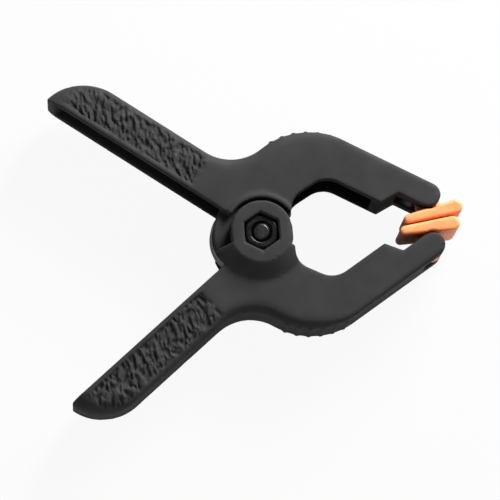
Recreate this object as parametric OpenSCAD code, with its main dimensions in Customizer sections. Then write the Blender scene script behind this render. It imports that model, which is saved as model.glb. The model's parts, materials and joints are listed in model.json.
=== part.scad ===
// Mini nylon spring clamp with two swivelling pads, lying flat on its hub.
// The pivot axis is Z. The jaws point along +X, arm B is on the +Y side, and
// Z = 0 is the plane that the lower hub boss rests on. Both arms are drawn
// for the +Y side about the clamp's mid-plane, then mirrored and lifted.

/* [Arms] */
// Width of an arm along the pivot axis
arm_w = 13; // [11:0.5:16]
// Thickness of an arm's cheeks and back wall
wall = 1.8; // [1.5:0.1:2.1]

/* [Handles] */
// Distance from the pivot to a handle's end
handle_l = 44.2; // [38:0.2:54]
// Angle between a handle and the clamp's long axis
handle_a = 37.5; // [35:0.5:41]
// Depth of a handle from its back to its open edge
handle_d = 7.2; // [6.9:0.05:8.6]
// How far a handle's open edge passes beyond the pivot axis
handle_out = 0.2; // [0:0.05:0.6]
// Radius of a handle's rounded end
end_r = 8.8; // [8.6:0.1:10]
// Radius of the waist between a handle and its jaw
neck_r = 8.2; // [6.6:0.1:9]

/* [Jaws] */
// Distance from the pivot to the pad pins along the clamp
pin_x = 29.6; // [27:0.1:35]
// Height of a pad pin above the clamp's long axis
pin_y = 4.4; // [4.2:0.05:4.8]
// Angle between a jaw's back and the clamp's long axis
jaw_a = 31; // [30:0.5:32]
// Depth of a jaw at its tooth
jaw_d = 7.2; // [6.6:0.1:7.6]
// Depth of the finger in front of the tooth
finger_d = 4.3; // [4.2:0.05:4.6]
// Radius of a fingertip around its pad pin
tip_r = 2.1; // [1.9:0.05:2.3]
// Distance of the tooth behind the pad pin, along the jaw
tooth_back = 6.8; // [6.6:0.1:7.4]
// Slope of the step from the tooth down to the finger
step_a = 56; // [50:1:70]
// Distance from the pivot to the centre of the shoulder's curve
shoulder_x = 8.7; // [8:0.1:9.4]
// Height of the centre of the shoulder's curve
shoulder_y = 4.35; // [4:0.05:4.8]
// Distance from the pivot to the centre of the throat's curve
throat_x = 11.9; // [11:0.1:12.8]
// Height of the centre of the throat's curve
throat_y = 4.2; // [3.8:0.1:4.6]
// Radius of a grip rib on the shoulder
rib_r = 0.55; // [0.4:0.05:0.7]
// Distance of a rib's ends from the arm's broad faces
rib_in = 1.5; // [1:0.1:3]
// Number of grip ribs on each shoulder
ribs = 6; // [0:1:7]

/* [Hub] */
// Width of the hub over both bosses
hub_w = 17.4; // [16.4:0.2:22]
// Radius of a boss
boss_r = 5.4; // [5:0.1:6]
// Radius where a boss's flank meets the arm
flank_r = 8.3; // [8:0.1:9]
// Radius of the inner ears
ear_r = 5.7; // [5.4:0.1:5.9]
// Thickness of an inner ear
ear_t = 1.9; // [1.6:0.1:2.2]
// Clearance between the spring's coil and the spool inside it
spool_gap = 0.2; // [0.15:0.05:0.4]
// Gap between the two halves of the spool
spool_split = 0.6; // [0.4:0.1:2]
// Distance from the pivot to the hub's flat throat side
hub_flat = 5.6; // [5.4:0.1:5.8]
// Largest angle that the arms open to
open_a = 50; // [40:1:52]
// Radius of the hub's lobes between the handles
lobe_r = 8.3; // [7.8:0.1:8.6]
// Angle by which an inner ear's lobe passes the clamp's long axis
lobe_a = 20; // [18:1:25]
// How far a boss's flat side stands back from the hub's
boss_back = 0.5; // [0.2:0.1:0.8]
// Radius of the corner between the hub's flat side and the throat's curve
corner_r = 3.6; // [3.2:0.1:4]
// Height of that corner's centre above the clamp's long axis
corner_y = 3.4; // [3.2:0.1:3.8]
// Height of the rim around an inner ear's recess
rim_h = 0.5; // [0.3:0.1:0.8]
// Width of that rim
rim_w = 1; // [0.8:0.1:1.6]
// Clearance between faces that turn on each other
turn_gap = 0.1; // [0.05:0.01:0.2]
// Clearance around an ear inside the other arm
ear_gap = 0.35; // [0.3:0.05:0.5]

/* [Screw and nut] */
// Radius of the screw's shank
shank_r = 1.5; // [1.25:0.05:1.6]
// Radial clearance of a bore on the shank
bore_gap = 0.05; // [0.02:0.01:0.1]
// Width of the nut across its flats
nut_af = 5.5; // [5:0.1:6]
// Height of the nut
nut_h = 1.6; // [1.2:0.1:1.7]
// How far the screw's end passes the nut
end_past = 0.3; // [0:0.05:0.3]
// Clearance between the screw's head and the flats of its pocket
head_gap = 0.2; // [0.1:0.05:0.5]
// Height of the screw's head
head_h = 1.9; // [1.6:0.1:2]
// Height of the straight side of the head
head_side = 0.9; // [0.5:0.1:1.2]
// Width and depth of the cross in the head
cross_w = 0.6; // [0.5:0.05:0.8]
cross_d = 0.9; // [0.6:0.1:1.2]
// Depth of the hexagonal pocket in a boss
pocket_d = 2.4; // [2:0.1:2.8]
// Clearance between the nut's flats and its pocket
pocket_gap = 0.15; // [0.05:0.01:0.3]

/* [Spring] */
// Thickness of the spring's wire
wire_d = 1.1; // [0.9:0.05:1.2]
// Mean radius of the coil
coil_r = 5.8; // [5.4:0.05:5.9]
// Whole curls of the coil
curls = 3; // [2:1:3]
// Clearance between the coil's ends and the inner ears
wire_gap = 0.2; // [0.15:0.05:0.4]
// Gap between neighbouring curls
curl_gap = 0.45; // [0.42:0.01:0.6]
// Length of a leg beyond the coil
leg_l = 23; // [16:0.5:26]
// Clearance between a leg and the handle's back wall
leg_gap = 0.3; // [0.2:0.05:0.4]

/* [Pads] */
// Width of a pad along the pivot axis
pad_w = 12.2; // [10:0.2:15]
// Reach of a pad beyond its pin
pad_front = 5.4; // [4.8:0.1:5.6]
// Reach of a pad behind its pin
pad_back = 5.1; // [4.6:0.1:5.4]
// Radius of a pad's front end
front_r = 1.25; // [1.1:0.05:1.35]
// Radius of a pad's back end
heel_r = 0.8; // [0.7:0.05:0.9]
// Angle by which the two closed pads lean together
pad_tilt = 7; // [0:0.5:8]
// Half the gap between the two closed pads
face_gap = 0.15; // [0.1:0.05:0.25]
// Clearance between a pad and its fingertip
tip_gap = 0.3; // [0.25:0.05:0.4]
// Radius of the pin that a pad turns on
pin_r = 1; // [0.9:0.05:1.1]
// Radial clearance of a pad on its pin
pin_gap = 0.05; // [0.02:0.01:0.1]
// Wall of a pad's eye around the pin
eye_wall = 1; // [0.8:0.05:1]
// Thickness of a pad's eye along the pin
eye_w = 4.6; // [4:0.1:5.4]
// Clearance on each side of the eye
eye_gap = 0.3; // [0.2:0.05:0.4]

/* [Hidden] */
$fn = 64;
black = "#1b1b1d";
orange = "#f0824a";
steel = "#a9abad";
far = 60;      // longer than anything that it cuts
bite = 0.01;   // how far a cut runs past a face
lap_a = 3;     // degrees by which the shoulder's curve runs on inside its neighbours
lap_y = 2;     // how far the shoulder's sector starts below its curve's centre
stop_a = 1.5;  // degrees between the outer ears' lobe and the open arm
root_a = 10;   // degrees by which a lobe runs on inside its own handle

// Levels above the mid-plane
hub_h = hub_w / 2;
arm_h = arm_w / 2;
cheek_h = arm_h - wall;                    // inner face of a cheek
floor_h = hub_h - pocket_d;                // floor of the hexagonal pocket
turn = curls + 2 * (90 - handle_a) / 360;
pitch = wire_d + curl_gap;
coil_h = turn * pitch / 2;                 // middle of the outermost wire
ear_in = coil_h + wire_d / 2 + wire_gap;   // inner face of an inner ear
ear_out = ear_in + ear_t;                  // outer face of an inner ear
lid_in = ear_out + turn_gap;               // inner face of an outer ear

// Handle frame: s runs out along the handle, n runs to its back
back_n = handle_d - handle_out;
end_s = handle_l - sqrt(end_r ^ 2 - (end_r - handle_d) ^ 2);
function from_handle(s, n) = [
    n * sin(handle_a) - s * cos(handle_a),
    n * cos(handle_a) + s * sin(handle_a)];
function handle_s(p) = p[1] * sin(handle_a) - p[0] * cos(handle_a);
function handle_n(p) = p[0] * sin(handle_a) + p[1] * cos(handle_a);

// Jaw frame: t runs along the jaw to its tip, o runs to its back
function from_jaw(t, o) = [
    t * cos(jaw_a) + o * sin(jaw_a),
    o * cos(jaw_a) - t * sin(jaw_a)];
function jaw_t(p) = p[0] * cos(jaw_a) - p[1] * sin(jaw_a);
function jaw_o(p) = p[0] * sin(jaw_a) + p[1] * cos(jaw_a);

pin = [pin_x, pin_y];
shoulder = [shoulder_x, shoulder_y];
throat = [throat_x, throat_y];
back_o = jaw_o(pin) + tip_r;
tooth_o = back_o - jaw_d;
finger_o = back_o - finger_d;
tooth_t = jaw_t(pin) - tooth_back;
step_t = tooth_t + (finger_o - tooth_o) / tan(step_a);
shoulder_r = back_o - jaw_o(shoulder);
throat_r = tooth_o - jaw_o(throat);

// The neck's circle touches the handle's back and the shoulder's circle
neck_n = back_n + neck_r;
neck_s = handle_s(shoulder)
    + sqrt((shoulder_r + neck_r) ^ 2 - (neck_n - handle_n(shoulder)) ^ 2);
neck = from_handle(neck_s, neck_n);
neck_dir = atan2(neck[1] - shoulder[1], neck[0] - shoulder[0]);

// The recess that an inner ear lies in, and the corner of the throat beside it
recess_r = ear_r + ear_gap;
corner = [hub_flat + corner_r, corner_y];
to_throat = throat - corner;
roof_dir = atan2(to_throat[1], to_throat[0]) + acos((corner_r - throat_r) / norm(to_throat));
roof = [cos(roof_dir), sin(roof_dir)];     // square to the wall that touches both curves

// Where the outer ears' lobe ends, short of the other handle's edge when that is closest
lobe_end = open_a - handle_a + asin(handle_out / recess_r) + stop_a;

// The leg lies along the back wall, and the coil's circle touches the leg
leg_n = back_n - wall - leg_gap - wire_d / 2;
coil_x = -(coil_r - leg_n) / sin(handle_a);

// The coil is drawn in straight runs, whose middles lie nearest the spool
rings_per_curl = 8;
coil_in = coil_r * cos(180 / rings_per_curl) - wire_d / 2;
spool_r = coil_x + coil_in - spool_gap;

// Pad eyes, the pins that they turn on and the slots that they sit in
slot_h = eye_w / 2 + eye_gap;
eye_r = pin_r + pin_gap + eye_wall;
pin_seat = 0.5;                            // how far a pin runs into its cheeks
past_tip = 1;                              // how far a slot runs past a fingertip
head_r = nut_af / 2 + pocket_gap - head_gap;

module lift() translate([0, 0, hub_h]) children();
module both_sides() { children(); mirror([0, 0, 1]) children(); }
module in_handle() rotate(180 - handle_a) mirror([0, 1, 0]) children();
module in_jaw() rotate(-jaw_a) children();
module slab(half) translate([0, 0, -half]) linear_extrude(2 * half) children();
module layer(low, high) translate([0, 0, low]) linear_extrude(high - low) children();

// ---- Plan of the +Y arm ----
// inset pulls its back edge inward, and past runs it out beyond its open edge

module handle_plan(inset, past) in_handle() {
    translate([0, -handle_out - past]) square([end_s, handle_d - inset + past]);
    intersection() {
        translate([end_s, back_n - end_r]) circle(r = end_r - inset);
        translate([end_s - bite, -handle_out]) square(end_r + bite);
    }
    if (past > 0)
        translate([end_s - bite, -handle_out - past])
            square([sqrt((end_r - inset) ^ 2 - (end_r - handle_d) ^ 2) + bite, past + bite]);
}

module neck_plan(inset) difference() {
    polygon([[0, 0], from_handle(neck_s, -handle_out),
        from_handle(neck_s, back_n - inset), neck, shoulder]);
    translate(neck) circle(r = neck_r + inset);
}

module shoulder_plan(inset) intersection() {
    translate(shoulder) circle(r = shoulder_r - inset);
    polygon([shoulder - [0, lap_y],
        shoulder + far * [cos(neck_dir + lap_a), sin(neck_dir + lap_a)],
        shoulder + far * [0, 1],
        shoulder + far * [sin(jaw_a + lap_a), cos(jaw_a + lap_a)]]);
}

module jaw_plan(inset) in_jaw()
    translate([jaw_t(shoulder), jaw_o(shoulder)])
        square([jaw_t(pin) - jaw_t(shoulder), back_o - jaw_o(shoulder) - inset]);

module throat_plan() {
    translate(throat) circle(r = throat_r);
    translate(corner) circle(r = corner_r);
    polygon([[hub_flat, -far], [hub_flat, corner_y],
        corner + corner_r * roof, throat + throat_r * roof,
        from_jaw(jaw_t(throat), tooth_o), from_jaw(tooth_t, tooth_o),
        from_jaw(step_t, finger_o), from_jaw(far, finger_o), [far, -far]]);
}

module arm_plan(inset, past = 0) {
    difference() {
        union() {
            handle_plan(inset, past);
            neck_plan(inset);
            shoulder_plan(inset);
            jaw_plan(inset);
        }
        if (past == 0) throat_plan();
    }
}

// ---- Grip ribs across the shoulder ----

module grip_ribs() {
    step = (neck_dir - 90 + jaw_a) / (ribs + 1);
    for (i = [1:1:ribs])
        translate(shoulder)
            rotate(90 - jaw_a + i * step)
                translate([shoulder_r - rib_r / 2, 0, -arm_h + rib_in])
                    cylinder(r = rib_r, h = arm_w - 2 * rib_in, $fn = 24);
}

// ---- What both arms share ----

module arm_blank() difference() {
    union() {
        slab(arm_h) arm_plan(0);
        slab(arm_h) translate(pin) circle(r = tip_r);
        grip_ribs();
    }
    slab(cheek_h) difference() {
        arm_plan(wall, past = 1);
        in_jaw() translate([tooth_t - wall, 0]) square(far);
    }
    slab(slot_h) in_jaw() translate([tooth_t + wall, 0])
        square([far, back_o - wall]);
    slab(slot_h) translate(pin) {
        circle(r = tip_r + past_tip);
        in_jaw() square(tip_r + past_tip);
    }
}

module pad_pin() translate(pin) translate([0, 0, -slot_h - pin_seat])
    cylinder(r = pin_r, h = 2 * (slot_h + pin_seat));

module hub_disc(r, flat) intersection() {
    circle(r = r);
    translate([-far, -far]) square([far + flat, 2 * far]);
}

// A sector about the pivot, between two angles from -X towards the arm's own side
module sector(r, low, high) intersection() {
    circle(r = r);
    polygon([[0, 0], for (a = [low, (low + high) / 2, high]) far * [-cos(a), sin(a)]]);
}

module pocket() rotate(30) cylinder(d = (nut_af + 2 * pocket_gap) / cos(30), h = far, $fn = 6);

// ---- The two arms, both drawn on the +Y side ----

// Outer ears: a boss with a nut pocket on a sloping flank, over a round recess.
// The flank runs on as a lobe towards the other handle.
module outer_arm() {
    difference() {
        union() {
            arm_blank();
            both_sides() {
                layer(lid_in, hub_h) hub_disc(boss_r, hub_flat - boss_back);
                intersection() {
                    translate([0, 0, lid_in]) union() {
                        cylinder(r = flank_r, h = arm_h - lid_in);
                        translate([0, 0, arm_h - lid_in])
                            cylinder(r1 = flank_r, r2 = boss_r, h = hub_h - arm_h);
                    }
                    layer(lid_in, hub_h) {
                        intersection() {
                            arm_plan(0);
                            circle(r = flank_r);
                        }
                        sector(lobe_r, lobe_end, handle_a + root_a);
                    }
                }
            }
        }
        slab(lid_in) {
            circle(r = recess_r);
            sector(lobe_r + ear_gap, -handle_a - root_a - stop_a, lobe_a + open_a + stop_a);
        }
        both_sides() translate([0, 0, floor_h]) pocket();
        slab(hub_h) circle(r = shank_r + bore_gap);
    }
    pad_pin();
}

// Inner ears: discs with a lobe and spool halves, inside a rimmed round recess
module inner_arm() {
    difference() {
        union() {
            arm_blank();
            both_sides() {
                layer(ear_in, ear_out) {
                    hub_disc(ear_r, hub_flat);
                    sector(lobe_r, -lobe_a, handle_a + root_a);
                }
                layer(ear_in, cheek_h + bite) intersection() {
                    arm_plan(wall);
                    circle(r = flank_r);
                }
                layer(arm_h - bite, arm_h + rim_h) intersection() {
                    arm_plan(0);
                    circle(r = recess_r + rim_w);
                }
                layer(spool_split / 2, ear_in + bite) circle(r = spool_r);
            }
        }
        both_sides() layer(ear_out, hub_h) circle(r = recess_r);
        slab(hub_h) circle(r = shank_r + bore_gap);
    }
    pad_pin();
}

module arm_a() color(black) lift() mirror([0, 1, 0]) outer_arm();
module arm_b() color(black) lift() inner_arm();

// ---- Pads ----

// A pad under the +Y fingertip, with its gripping face at the bottom, leaning about its pin
module pad(lean) translate(pin) rotate(lean) translate(-pin) {
    heel = [pin_x - pad_back + heel_r, face_gap + heel_r];
    nose = [pin_x + pad_front - front_r, face_gap + front_r];
    web_y = face_gap + heel_r / 2;
    difference() {
        union() {
            slab(pad_w / 2) difference() {
                hull() {
                    translate(heel) circle(r = heel_r, $fn = 32);
                    translate(nose) circle(r = front_r, $fn = 32);
                }
                translate(pin) circle(r = tip_r + tip_gap);
            }
            slab(eye_w / 2) {
                translate(pin) circle(r = eye_r);
                translate([pin_x - eye_r, web_y]) square([2 * eye_r, pin_y - web_y]);
            }
        }
        slab(pad_w) translate(pin) circle(r = pin_r + pin_gap);
    }
}

module pad_a() color(orange) lift() mirror([0, 1, 0]) pad(-pad_tilt);
module pad_b() color(orange) lift() pad(pad_tilt);

// ---- Torsion spring: one unbroken wire ----

wire_sides = 6;
coil_rings = round(turn * rings_per_curl);
coil_start = -(90 - handle_a);
function coil_point(f) =
    let (a = coil_start + f * turn * 360)
    [coil_x + coil_r * cos(a), coil_r * sin(a), coil_h * (2 * f - 1)];
leg_dir = [-cos(handle_a), sin(handle_a), 0];
leg_dir_a = [leg_dir[0], -leg_dir[1], 0];
wire_path = concat(
    [coil_point(0) + leg_l * leg_dir_a],
    [for (i = [0:coil_rings]) coil_point(i / coil_rings)],
    [coil_point(1) + leg_l * leg_dir]);
function unit(v) = v / norm(v);
function path_dir(p, i) =
    unit(p[min(i + 1, len(p) - 1)] - p[max(i - 1, 0)]);
function wire_ring(p, i) =
    let (d = path_dir(p, i), side = unit(cross([0, 0, 1], d)), up = cross(d, side))
    [for (k = [0:wire_sides - 1])
        p[i] + wire_d / 2 * (cos(360 * k / wire_sides) * side + sin(360 * k / wire_sides) * up)];

module wire(path) {
    last = len(path) - 1;
    points = [for (i = [0:last]) each wire_ring(path, i)];
    sides = [for (i = [0:last - 1], k = [0:wire_sides - 1])
        let (a = i * wire_sides + k, b = i * wire_sides + (k + 1) % wire_sides)
        each [[a, a + wire_sides, b], [b, a + wire_sides, b + wire_sides]]];
    caps = [for (k = [1:wire_sides - 2])
        each [[0, k, k + 1],
            [last * wire_sides, last * wire_sides + k + 1, last * wire_sides + k]]];
    polyhedron(points, concat(sides, caps), convexity = 6);
}

// Least gap of the wire to itself, measured between points over half a curl apart
fine = 24;
gap_points = [for (i = [0:round(turn * fine)]) coil_point(i / round(turn * fine))];
leg_points = [for (i = [0:10]) coil_point(0) + i / 10 * leg_l * leg_dir_a];
echo(least_gap = min(
    min([for (i = [0:len(gap_points) - 1], j = [i + fine / 2:1:len(gap_points) - 1])
        norm(gap_points[i] - gap_points[j])]),
    min([for (p = leg_points, j = [fine / 2:1:len(gap_points) - 1])
        norm(p - gap_points[j])])) - wire_d);

module torsion_spring() color(steel) lift() wire(wire_path);

// ---- Screw and nut ----

module pivot_screw() color(steel) lift() {
    head_end = -floor_h - head_h;
    cross_l = 2 * (head_r - head_h + head_side) - cross_w;
    translate([0, 0, -floor_h])
        cylinder(r = shank_r, h = 2 * floor_h + nut_h + end_past);
    difference() {
        union() {
            translate([0, 0, -floor_h - head_side]) cylinder(r = head_r, h = head_side);
            translate([0, 0, head_end])
                cylinder(r1 = head_r - head_h + head_side, r2 = head_r, h = head_h - head_side);
        }
        for (a = [0, 90])
            rotate(a)
                translate([-cross_l / 2, -cross_w / 2, head_end - bite])
                    cube([cross_l, cross_w, cross_d]);
    }
}

module pivot_nut() color(steel) lift() translate([0, 0, floor_h]) difference() {
    rotate(30) cylinder(d = nut_af / cos(30), h = nut_h, $fn = 6);
    translate([0, 0, -bite]) cylinder(r = shank_r, h = nut_h + 2 * bite);
}

arm_a();
arm_b();
pad_a();
pad_b();
torsion_spring();
pivot_screw();
pivot_nut();
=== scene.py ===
"""Looks of the spring clamp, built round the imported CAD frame. All lengths are in metres."""

import json
import math

import bpy
import numpy as np
import openvdb
from mathutils import Matrix, Vector, noise


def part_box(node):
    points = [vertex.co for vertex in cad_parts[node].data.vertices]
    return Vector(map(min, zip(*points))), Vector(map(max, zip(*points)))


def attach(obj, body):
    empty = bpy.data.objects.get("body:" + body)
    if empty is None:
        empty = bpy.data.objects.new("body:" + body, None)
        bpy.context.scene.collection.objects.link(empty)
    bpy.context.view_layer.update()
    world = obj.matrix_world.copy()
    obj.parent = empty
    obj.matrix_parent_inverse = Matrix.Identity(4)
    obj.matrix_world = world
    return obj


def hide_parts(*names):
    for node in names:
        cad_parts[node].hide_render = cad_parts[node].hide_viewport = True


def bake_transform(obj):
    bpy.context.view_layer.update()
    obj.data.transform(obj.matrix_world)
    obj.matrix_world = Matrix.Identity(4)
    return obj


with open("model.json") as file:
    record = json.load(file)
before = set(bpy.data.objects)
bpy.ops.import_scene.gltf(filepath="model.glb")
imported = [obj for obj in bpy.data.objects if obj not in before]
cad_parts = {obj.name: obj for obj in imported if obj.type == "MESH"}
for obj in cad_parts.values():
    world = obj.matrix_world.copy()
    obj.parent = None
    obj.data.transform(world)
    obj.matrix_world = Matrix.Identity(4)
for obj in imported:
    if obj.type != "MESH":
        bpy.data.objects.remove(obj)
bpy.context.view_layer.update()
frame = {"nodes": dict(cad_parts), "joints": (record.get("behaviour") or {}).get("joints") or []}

MM = 0.001
PIVOT = Vector(next(j for j in frame["joints"] if j["name"] == "jaw_pivot")["pos_m"])
MID = PIVOT.z

# The CAD's driving sizes that the looks need again
HANDLE_ANGLE = math.radians(37.5)
HANDLE_BACK = 7.0 * MM
HANDLE_LENGTH = 44.2 * MM
ARM_HALF = 6.5 * MM
FLANK_RADIUS = 8.3 * MM
WIRE = 1.1 * MM
COIL_RADIUS = 5.8 * MM
COIL_X = -2.38 * MM
COIL_CURLS = 3
CURL_PITCH = 1.55 * MM
LEG_LENGTH = 23 * MM
SHANK_RADIUS = 1.5 * MM


# ---------------------------------------------------------------- materials


def new_material(name):
    """A Principled material, as (material, nodes, links, shader)."""
    material = bpy.data.materials.new(name)
    material.use_nodes = True
    nodes, links = material.node_tree.nodes, material.node_tree.links
    return material, nodes, links, nodes["Principled BSDF"]


# The part of a noise output's range that nearly all of it lies in
NOISE_LOW, NOISE_HIGH = 0.3, 0.7


def noise_at(nodes, links, scale, detail, stretch=(1, 1, 1)):
    """Noise over object space; scale is features per metre, stretched along the axes."""
    place = nodes.new("ShaderNodeTexCoord")
    mapping = nodes.new("ShaderNodeMapping")
    mapping.inputs["Scale"].default_value = stretch
    texture = nodes.new("ShaderNodeTexNoise")
    texture.inputs["Scale"].default_value = scale
    texture.inputs["Detail"].default_value = detail
    links.new(place.outputs["Object"], mapping.inputs["Vector"])
    links.new(mapping.outputs["Vector"], texture.inputs["Vector"])
    return texture.outputs["Fac"]


def ramp(nodes, links, source, low, high):
    """A colour ramp from low to high over a noise output."""
    node = nodes.new("ShaderNodeValToRGB")
    node.color_ramp.elements[0].position = NOISE_LOW
    node.color_ramp.elements[0].color = (*low, 1)
    node.color_ramp.elements[1].position = NOISE_HIGH
    node.color_ramp.elements[1].color = (*high, 1)
    links.new(source, node.inputs["Fac"])
    return node.outputs["Color"]


def spread(nodes, links, source, low, high):
    """A noise output mapped to the range from low to high."""
    node = nodes.new("ShaderNodeMapRange")
    node.inputs["From Min"].default_value = NOISE_LOW
    node.inputs["From Max"].default_value = NOISE_HIGH
    node.inputs["To Min"].default_value = low
    node.inputs["To Max"].default_value = high
    links.new(source, node.inputs["Value"])
    return node.outputs["Result"]


def bumps(nodes, links, source, depth, strength, under=None):
    """A bump of that depth in metres, on top of another one."""
    node = nodes.new("ShaderNodeBump")
    node.inputs["Distance"].default_value = depth
    node.inputs["Strength"].default_value = strength
    links.new(source, node.inputs["Height"])
    if under is not None:
        links.new(under, node.inputs["Normal"])
    return node.outputs["Normal"]


def nylon():
    """Moulded black nylon: matte, with the fine spark grain of its mould."""
    material, nodes, links, shader = new_material("black_nylon")
    tone = noise_at(nodes, links, 160, 4)
    colour = ramp(nodes, links, tone, (0.022, 0.022, 0.0225), (0.031, 0.031, 0.0315))
    links.new(colour, shader.inputs["Base Color"])
    cloudy = noise_at(nodes, links, 420, 4)
    links.new(spread(nodes, links, cloudy, 0.7, 0.82), shader.inputs["Roughness"])
    shader.inputs["Specular IOR Level"].default_value = 0.2
    flow = bumps(nodes, links, noise_at(nodes, links, 500, 2), 0.02 * MM, 0.2)
    grain = bumps(nodes, links, noise_at(nodes, links, 6500, 2), 0.02 * MM, 0.5, flow)
    links.new(grain, shader.inputs["Normal"])
    return material


def pad_plastic():
    """Soft orange plastic: satin, faintly translucent, with a slight mottle."""
    material, nodes, links, shader = new_material("orange_plastic")
    tone = noise_at(nodes, links, 350, 4)
    colour = ramp(nodes, links, tone, (0.95, 0.28, 0.09), (1.0, 0.34, 0.13))
    links.new(colour, shader.inputs["Base Color"])
    cloudy = noise_at(nodes, links, 700, 3)
    links.new(spread(nodes, links, cloudy, 0.5, 0.6), shader.inputs["Roughness"])
    shader.inputs["Specular IOR Level"].default_value = 0.5
    shader.inputs["Subsurface Weight"].default_value = 0.6
    shader.inputs["Subsurface Radius"].default_value = (1.0, 0.35, 0.12)
    shader.inputs["Subsurface Scale"].default_value = 2 * MM
    grain = bumps(nodes, links, noise_at(nodes, links, 5000, 2), 0.015 * MM, 0.4)
    links.new(grain, shader.inputs["Normal"])
    return material


ROUGH_SPREAD = 0.08


def steel(name, low, high, rough, lines):
    """Steel with its base colour between two given tones, and fine lines round the pivot axis."""
    material, nodes, links, shader = new_material(name)
    shader.inputs["Metallic"].default_value = 1
    tone = noise_at(nodes, links, 500, 4)
    links.new(ramp(nodes, links, tone, low, high), shader.inputs["Base Color"])
    streaks = noise_at(nodes, links, 1800, 4, lines)
    gloss = spread(nodes, links, streaks, rough - ROUGH_SPREAD, rough + ROUGH_SPREAD)
    links.new(gloss, shader.inputs["Roughness"])
    links.new(bumps(nodes, links, streaks, 0.01 * MM, 0.3), shader.inputs["Normal"])
    return material


NYLON = nylon()
PAD = pad_plastic()
# The spring's steel gets a dark base colour as painted shade: the wire is bright steel, darkened
# to stand for the shade and dark reflections round the coil.
PAINTED_SHADE_SPRING_STEEL = steel("spring_steel", (0.1, 0.098, 0.095), (0.17, 0.166, 0.16), 0.34, (1, 1, 6))
SCREW_STEEL = steel("screw_steel", (0.05, 0.05, 0.05), (0.09, 0.09, 0.09), 0.34, (1, 1, 5))
NUT_STEEL = steel("nut_steel", (0.028, 0.028, 0.029), (0.05, 0.05, 0.052), 0.38, (1, 1, 3))


# ---------------------------------------------------------------- solids as distance fields


BAND = 6    # voxels of distance kept on either side of a surface
MARGIN = 4  # empty voxels round a field
SPARE = 3   # voxels kept beyond the radius that an edge is rounded to


def level_set(points, triangles, quads, voxel, width):
    """The distance to a closed surface out to a width on either side of it."""
    return openvdb.FloatGrid.createLevelSetFromPolygons(
        points.astype(np.float32),
        triangles=triangles.astype(np.uint32),
        quads=quads.astype(np.uint32),
        transform=openvdb.createLinearTransform(voxelSize=voxel),
        halfWidth=width / voxel,
    )


class Field:
    """The distance to a closed surface on a regular grid, negative inside it."""

    def __init__(self, points, triangles, quads, voxel):
        self.voxel = voxel
        grid = level_set(points, triangles, quads, voxel, BAND * voxel)
        self.low = np.floor(points.min(0) / voxel).astype(int) - MARGIN
        size = np.ceil(points.max(0) / voxel).astype(int) + MARGIN + 1 - self.low
        self.values = np.empty(size, np.float32)
        grid.copyToArray(self.values, ijk=tuple(int(v) for v in self.low))
        axes = [(self.low[i] + np.arange(size[i])) * voxel for i in range(3)]
        self.x = axes[0][:, None, None]
        self.y = axes[1][None, :, None]
        self.z = axes[2][None, None, :]

    @classmethod
    def of_node(cls, node, voxel, radius):
        """A CAD node's field, with its outer edges rounded to the radius."""
        mesh = frame["nodes"][node].data
        mesh.calc_loop_triangles()
        points = np.array([v.co for v in mesh.vertices], np.float32)
        triangles = np.array([t.vertices for t in mesh.loop_triangles], np.uint32)
        quads = np.zeros((0, 4), np.uint32)
        for level in (-radius, radius):
            grid = level_set(points, triangles, quads, voxel, radius + SPARE * voxel)
            points, triangles, quads = grid.convertToPolygons(isovalue=level, adaptivity=0)
        return cls(points, triangles, quads, voxel)

    def cut(self, other):
        """Keeps only what the other field holds too."""
        np.maximum(self.values, other, out=self.values)

    def mesh(self, name, adaptivity):
        """A smooth-shaded mesh of the field's surface, merging flat parts by the adaptivity."""
        grid = openvdb.FloatGrid(BAND * self.voxel)
        grid.transform = openvdb.createLinearTransform(voxelSize=self.voxel)
        grid.copyFromArray(self.values, ijk=tuple(int(v) for v in self.low))
        points, triangles, quads = grid.convertToPolygons(isovalue=0, adaptivity=adaptivity)
        faces = [tuple(int(i) for i in f) for f in (*triangles, *quads)]
        mesh = bpy.data.meshes.new(name)
        mesh.from_pydata(points.tolist(), [], faces)
        mesh.validate()
        mesh.shade_smooth()
        return mesh


def add_piece(mesh, body, material, slot, *nodes):
    """Shows a mesh in place of CAD nodes, riding on a body if one is given."""
    piece = bpy.data.objects.new(mesh.name, mesh)
    bpy.context.scene.collection.objects.link(piece)
    mesh.materials.append(material)
    if body:
        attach(piece, body)
    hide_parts(*nodes)
    return piece


def smoothstep(low, high, value):
    """Rises smoothly from 0 at low to 1 at high."""
    t = np.clip((value - low) / (high - low), 0, 1)
    return t * t * (3 - 2 * t)


# ---------------------------------------------------------------- the arms

ARM_VOXEL = 0.15 * MM
ARM_MERGE = 0.08
EDGE_RADIUS = 0.3 * MM

# Rounding of the long back edges, and where it goes over to the jaw's and to the handle end's
BACK_RADIUS = 1.9 * MM
JAW_BACK_RADIUS = 0.8 * MM
JAW_AT = (6 * MM, 16 * MM)
END_BACK_RADIUS = 3.4 * MM
END_AT = (34 * MM, 41 * MM)
HUB_FADE = 4 * MM
LEAST_RADIUS = 1e-6

# Which walls of a CAD arm are its outer back walls
UPRIGHT = 0.05
OUTWARD = 0.2
LEVEL_SLACK = 0.01 * MM
HUB_CLEAR = 1 * MM

# The grained field's limits, out along a handle and from its open edge to its back
FIELD_START = (14 * MM, 15.5 * MM)
FIELD_END = (5 * MM, 2 * MM)
FIELD_EDGE = (0.5 * MM, 0.9 * MM)
FIELD_BACK = (1.6 * MM, 0.5 * MM)
FIELD_DEPTH = 0.05 * MM
SKIN = 1.2 * MM

# The leather relief: size of its pebbles, their lean and how they wander
GRAIN_DEPTH = 0.55 * MM
GRAIN_ALONG = 0.6 * MM
GRAIN_ACROSS = 1.0 * MM
GRAIN_LEAN = 0.45
BEND = 0.5 * MM
BEND_SIZE = 2.5 * MM
PEBBLE_LEVEL = 0.5
COARSE = 1.1
FINE = 0.35
FINE_SCALE = 2.3
FINE_SHIFT = Vector((7, 3, 1))


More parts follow.
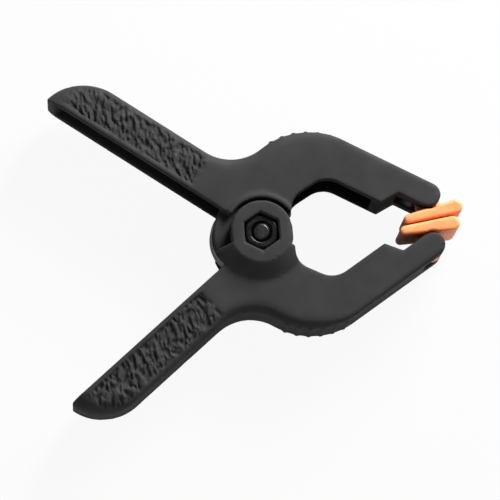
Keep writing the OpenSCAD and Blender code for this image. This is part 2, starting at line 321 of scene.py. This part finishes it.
def back_edges(node, side):
    """The plan segments of an arm's outer back edge, read from the CAD node's upright walls."""
    mesh = frame["nodes"][node].data
    top = MID + ARM_HALF
    found = []
    for face in mesh.polygons:
        if abs(face.normal.z) > UPRIGHT or face.normal.y * side < OUTWARD:
            continue
        corners = [mesh.vertices[i].co for i in face.vertices]
        for a, b in zip(corners, corners[1:] + corners[:1]):
            level = max(abs(a.z - top), abs(b.z - top)) < LEVEL_SLACK
            if level and min(a.xy.length, b.xy.length) > FLANK_RADIUS + HUB_CLEAR:
                found.append((a.xy, b.xy))
    return found


def distance_to(segments, x, y):
    """The plan distance from each grid column to the nearest segment."""
    nearest = np.full(np.broadcast(x, y).shape, 1.0)
    for a, b in segments:
        d = b - a
        along = np.clip(((x - a.x) * d.x + (y - a.y) * d.y) / max(d.length_squared, 1e-12), 0, 1)
        nearest = np.minimum(nearest, np.hypot(x - a.x - along * d.x, y - a.y - along * d.y))
    return nearest


def round_back(field, node, side):
    """Rounds the long back edges, most at the handle's end and least on the jaw."""
    x, y = field.x[:, :, 0], field.y[:, :, 0]
    away = distance_to(back_edges(node, side), x, y)
    out, _ = handle_frame(x, y, side)
    radius = BACK_RADIUS + (JAW_BACK_RADIUS - BACK_RADIUS) * smoothstep(*JAW_AT, x)
    radius = radius + (END_BACK_RADIUS - BACK_RADIUS) * smoothstep(*END_AT, out)
    past_hub = smoothstep(FLANK_RADIUS, FLANK_RADIUS + HUB_FADE, np.hypot(x, y))
    radius = radius * past_hub + LEAST_RADIUS
    near = away < radius
    up = np.abs(field.z[0, 0, :] - MID) - ARM_HALF
    side_in = np.maximum(radius - away, 0)[near][:, None]
    over = np.maximum(up[None, :] + radius[near][:, None], 0)
    rounded = np.hypot(side_in, over) - radius[near][:, None]
    field.values[near] = np.maximum(field.values[near], rounded)


def handle_frame(x, y, side):
    """How far a place is out along a handle from the pivot, and how far towards its back."""
    return (
        side * y * math.sin(HANDLE_ANGLE) - x * math.cos(HANDLE_ANGLE),
        x * math.sin(HANDLE_ANGLE) + side * y * math.cos(HANDLE_ANGLE),
    )


# noise_vector draws its offsets from this seed, and from the clock without it
noise.seed_set(11)


def wrinkle(s, n, seed):
    """Leather relief at a place on a handle: 0 in a crease and 1 on a pebble."""
    bend = noise.noise_vector(Vector((s / BEND_SIZE, n / BEND_SIZE, seed)))
    along = s - GRAIN_LEAN * n + BEND * bend.x
    place = Vector((along / GRAIN_ALONG, (n + BEND * bend.y) / GRAIN_ACROSS, seed))
    coarse = noise.noise(place)
    fine = noise.noise(place * FINE_SCALE + FINE_SHIFT)
    return min(1, max(0, PEBBLE_LEVEL + COARSE * coarse + FINE * fine))


def grain_handle(field, side, seed):
    """Sinks the leather's creases into both broad faces of a handle."""
    s, n = handle_frame(field.x[:, :, 0], field.y[:, :, 0], side)
    mask = smoothstep(*FIELD_START, s) * smoothstep(*FIELD_EDGE, n)
    mask = mask * (1 - smoothstep(HANDLE_BACK - FIELD_BACK[0], HANDLE_BACK - FIELD_BACK[1], n))
    mask = mask * (1 - smoothstep(HANDLE_LENGTH - FIELD_END[0], HANDLE_LENGTH - FIELD_END[1], s))
    depth = np.zeros(mask.shape)
    for i, j in np.argwhere(mask > 0.01):
        crease = 1 - wrinkle(s[i, j], n[i, j], seed)
        depth[i, j] = mask[i, j] * (FIELD_DEPTH + GRAIN_DEPTH * crease)
    broad = np.abs(field.z[0, 0, :] - MID) > ARM_HALF - SKIN
    field.values[:, :, broad] += depth[:, :, None].astype(np.float32)


def arm(node, side, seed):
    """An arm on that side of the clamp's long axis, with its own draw of the leather."""
    field = Field.of_node(node, ARM_VOXEL, EDGE_RADIUS)
    round_back(field, node, side)
    grain_handle(field, side, seed)
    add_piece(field.mesh(node + "_moulding", ARM_MERGE), node, NYLON, "arm_plastic", node)


arm("arm_a", -1, 1.5)
arm("arm_b", 1, 7.5)


# ---------------------------------------------------------------- the pads

PAD_VOXEL = 0.1 * MM
PAD_RADIUS = 0.45 * MM


def pad(node):
    """The CAD's pad with softened edges."""
    field = Field.of_node(node, PAD_VOXEL, PAD_RADIUS)
    add_piece(field.mesh(node + "_moulding", 0.0), node, PAD, "pad_plastic", node)


pad("pad_a")
pad("pad_b")


# ---------------------------------------------------------------- screw and nut

HARDWARE_VOXEL = 0.06 * MM
SCREW_EDGE = 0.15 * MM
THREAD_PITCH = 0.5 * MM
THREAD_DEPTH = 0.25 * MM
THREAD_LENGTH = 3 * MM
END_CHAMFER = 0.35 * MM
NUT_EDGE = 0.12 * MM
NUT_CHAMFER = math.radians(30)
CORNER_CUT = 0.1 * MM
NUT_SINK = 0.45 * MM

# What turns a height or a radius into a distance, across a thread's flank and across a chamfer
THREAD_SLOPE = 0.8
CHAMFER_SLOPE = 0.7


def pivot_screw():
    """The CAD's screw with a softened head and a thread and a chamfer at its other end."""
    field = Field.of_node("pivot_screw", HARDWARE_VOXEL, SCREW_EDGE)
    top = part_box("pivot_screw")[1].z
    radius = np.hypot(field.x, field.y)
    turn = (field.z / THREAD_PITCH - np.arctan2(field.y, field.x) / (2 * math.pi)) % 1
    groove = SHANK_RADIUS - THREAD_DEPTH * (1 - 2 * np.abs(turn - 0.5))
    threaded = np.where(field.z > top - THREAD_LENGTH, radius - groove, -1.0)
    field.cut((threaded * THREAD_SLOPE).astype(np.float32))
    chamfer = (radius + field.z - (SHANK_RADIUS + top - END_CHAMFER)) * CHAMFER_SLOPE
    field.cut(chamfer.astype(np.float32))
    mesh = field.mesh("cross_head_screw", 0.0)
    add_piece(mesh, "arm_a", SCREW_STEEL, "screw_steel", "pivot_screw")


def pivot_nut():
    """The CAD's nut with its corners chamfered above and below, and its thread's mouth sunk."""
    field = Field.of_node("pivot_nut", HARDWARE_VOXEL, NUT_EDGE)
    low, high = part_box("pivot_nut")
    radius = np.hypot(field.x, field.y)
    flats = (high.x - low.x) / 2
    for rise in (field.z - high.z, low.z - field.z):
        out = radius - flats + CORNER_CUT
        cone = out * math.sin(NUT_CHAMFER) + rise * math.cos(NUT_CHAMFER)
        field.cut(cone.astype(np.float32))
    sink = (SHANK_RADIUS + NUT_SINK - radius + (field.z - high.z)) * CHAMFER_SLOPE
    field.cut(sink.astype(np.float32))
    add_piece(field.mesh("hex_nut", 0.0), "arm_a", NUT_STEEL, "nut_steel", "pivot_nut")


pivot_screw()
pivot_nut()


# ---------------------------------------------------------------- the spring

WIRE_SIDES = 14
RINGS_PER_CURL = 48
RINGS_PER_LEG = 24
DOME_REACH = 0.5    # share of the wire's radius by which its ends are domed
DOME_RADIUS = 0.55  # share of the wire's radius at the tip of a dome


def spring_path():
    """The middle of the wire, a leg, the coil and a leg, and the coil's half height."""
    turns = COIL_CURLS + 2 * (math.pi / 2 - HANDLE_ANGLE) / (2 * math.pi)
    rise = turns * CURL_PITCH / 2
    start = -(math.pi / 2 - HANDLE_ANGLE)
    coil = []
    rings = round(turns * RINGS_PER_CURL)
    for i in range(rings + 1):
        share = i / rings
        angle = start + share * turns * 2 * math.pi
        around = Vector((math.cos(angle), math.sin(angle), 0)) * COIL_RADIUS
        coil.append(Vector((COIL_X, 0, MID + rise * (2 * share - 1))) + around)
    out_a = Vector((-math.cos(HANDLE_ANGLE), -math.sin(HANDLE_ANGLE), 0))
    out_b = Vector((-math.cos(HANDLE_ANGLE), math.sin(HANDLE_ANGLE), 0))
    steps = [LEG_LENGTH * k / RINGS_PER_LEG for k in range(1, RINGS_PER_LEG + 1)]
    leg_a = [coil[0] + out_a * t for t in reversed(steps)]
    leg_b = [coil[-1] + out_b * t for t in steps]
    return leg_a + coil + leg_b, rise


def tube(name, path, radius, sides):
    """A closed round tube along a path, with domed ends."""
    first = path[0] - (path[1] - path[0]).normalized() * radius * DOME_REACH
    last = path[-1] + (path[-1] - path[-2]).normalized() * radius * DOME_REACH
    tip = radius * DOME_RADIUS
    rings = [(first, tip), *((p, radius) for p in path), (last, tip)]
    points, faces = [], []
    for k, (centre, r) in enumerate(rings):
        ahead = (rings[min(k + 1, len(rings) - 1)][0] - rings[max(k - 1, 0)][0]).normalized()
        across = Vector((0, 0, 1)).cross(ahead).normalized()
        up = ahead.cross(across)
        for i in range(sides):
            a = 2 * math.pi * i / sides
            points.append(centre + r * (math.cos(a) * across + math.sin(a) * up))
    for k in range(len(rings) - 1):
        for i in range(sides):
            j = (i + 1) % sides
            low, high = k * sides, (k + 1) * sides
            faces.append((low + i, low + j, high + j, high + i))
    faces.append(tuple(reversed(range(sides))))
    faces.append(tuple(range((len(rings) - 1) * sides, len(rings) * sides)))
    mesh = bpy.data.meshes.new(name)
    mesh.from_pydata(points, [], faces)
    mesh.shade_smooth()
    return mesh


def torsion_spring():
    """The spring, a tube along its legs and coil, riding on neither arm."""
    path, rise = spring_path()
    mesh = tube("coiled_wire", path, WIRE / 2, WIRE_SIDES)
    piece = add_piece(mesh, None, PAINTED_SHADE_SPRING_STEEL, "spring_steel", "torsion_spring")
    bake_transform(piece)


torsion_spring()


# ---------------------------------------------------------------- floor, light and camera

STAGE_RADIUS = 1.6
STAGE_SIDES = 96
WALL_HEIGHT = 0.9
PAPER = (0.5, 0.5, 0.5, 1)

# How white the floor and the backdrop show to the eye, and in gloss
FLOOR_WHITE = (0.93, 0.25)
BACKDROP_WHITE = (1.0, 1.0)

WORLD_STRENGTH = 0.1
SENSOR = 36
VIEW_DISTANCE = 0.7
VIEW_TILT = math.radians(9.34)
VIEW_FROM = Vector((-0.3346, -0.9424))
VIEW_UP = Vector((0.0892, 0.996, 0))
FRAME_WIDTH = 0.0872
VIEW_RIGHT = -0.00167
VIEW_ABOVE = -0.00196


def white_paper(name, share, mirrored):
    """Paper that keeps shadows under those shares of an even white, to the eye and in gloss."""
    material, nodes, links, shader = new_material(name)
    shader.inputs["Base Color"].default_value = PAPER
    shader.inputs["Roughness"].default_value = 0.9
    shader.inputs["Specular IOR Level"].default_value = 0.0
    path = nodes.new("ShaderNodeLightPath")

    def combine(operation, first, second):
        node = nodes.new("ShaderNodeMath")
        node.operation = operation
        for socket, value in zip(node.inputs, (first, second)):
            if isinstance(value, float):
                socket.default_value = value
            else:
                links.new(value, socket)
        return node.outputs[0]

    gloss = combine("MAXIMUM", path.outputs["Is Glossy Ray"], path.outputs["Is Transmission Ray"])
    eye = combine("MULTIPLY", path.outputs["Is Camera Ray"], share)
    amount = combine("MAXIMUM", eye, combine("MULTIPLY", gloss, mirrored))
    white = nodes.new("ShaderNodeEmission")
    mix = nodes.new("ShaderNodeMixShader")
    links.new(amount, mix.inputs["Fac"])
    links.new(shader.outputs[0], mix.inputs[1])
    links.new(white.outputs[0], mix.inputs[2])
    links.new(mix.outputs[0], nodes["Material Output"].inputs["Surface"])
    return material


def stage():
    """A round white floor, and a white wall round it."""
    count = STAGE_SIDES
    around = [2 * math.pi * i / count for i in range(count)]
    ring = [(STAGE_RADIUS * math.cos(a), STAGE_RADIUS * math.sin(a)) for a in around]
    low = [(x, y, 0) for x, y in ring]
    high = [(x, y, WALL_HEIGHT) for x, y in ring]
    sides = [(i, (i + 1) % count, count + (i + 1) % count, count + i) for i in range(count)]
    shapes = (
        ("floor", low, [tuple(range(count))], FLOOR_WHITE),
        ("backdrop", low + high, sides, BACKDROP_WHITE),
    )
    for name, points, faces, white in shapes:
        mesh = bpy.data.meshes.new(name)
        mesh.from_pydata(points, [], faces)
        piece = bpy.data.objects.new(name, mesh)
        bpy.context.scene.collection.objects.link(piece)
        mesh.materials.append(white_paper(name + "_paper", *white))


def area_lamp(name, place, size, power):
    """A square lamp of that size and power, which faces the pivot."""
    data = bpy.data.lights.new(name, "AREA")
    data.shape = "RECTANGLE"
    data.size = data.size_y = size
    data.energy = power
    lamp = bpy.data.objects.new(name, data)
    lamp.location = place
    lamp.rotation_mode = "QUATERNION"
    lamp.rotation_quaternion = (PIVOT - Vector(place)).to_track_quat("-Z", "Y")
    bpy.context.scene.collection.objects.link(lamp)


def light():
    """Light from the upper right, with a weak fill from the other side."""
    world = bpy.data.worlds.new("studio")
    world.use_nodes = True
    world.node_tree.nodes["Background"].inputs["Color"].default_value = (1, 1, 1, 1)
    world.node_tree.nodes["Background"].inputs["Strength"].default_value = WORLD_STRENGTH
    bpy.context.scene.world = world
    area_lamp("softbox", (0.6, 0.64, 0.74), 0.4, 12.0)
    area_lamp("key", (0.15, 0.24, 0.17), 0.1, 1.7)
    area_lamp("fill", (-0.25, -0.6, 0.15), 0.4, 0.9)
    bpy.context.scene.view_settings.view_transform = "Standard"


def camera():
    """The camera, tilted a little from the pivot axis and centred beside the pivot."""
    data = bpy.data.cameras.new("camera")
    data.sensor_width = SENSOR
    data.lens = SENSOR * VIEW_DISTANCE / FRAME_WIDTH
    data.clip_start, data.clip_end = 0.01, 10
    eye = bpy.data.objects.new("camera", data)
    flat = VIEW_FROM.normalized() * math.sin(VIEW_TILT)
    back = Vector((flat.x, flat.y, math.cos(VIEW_TILT)))
    right = VIEW_UP.cross(back).normalized()
    up = back.cross(right)
    turn = Matrix((right, up, back)).transposed()
    centre = PIVOT + VIEW_RIGHT * right + VIEW_ABOVE * up
    eye.matrix_world = Matrix.Translation(centre + back * VIEW_DISTANCE) @ turn.to_4x4()
    bpy.context.scene.collection.objects.link(eye)
    bpy.context.scene.camera = eye


stage()
light()
camera()
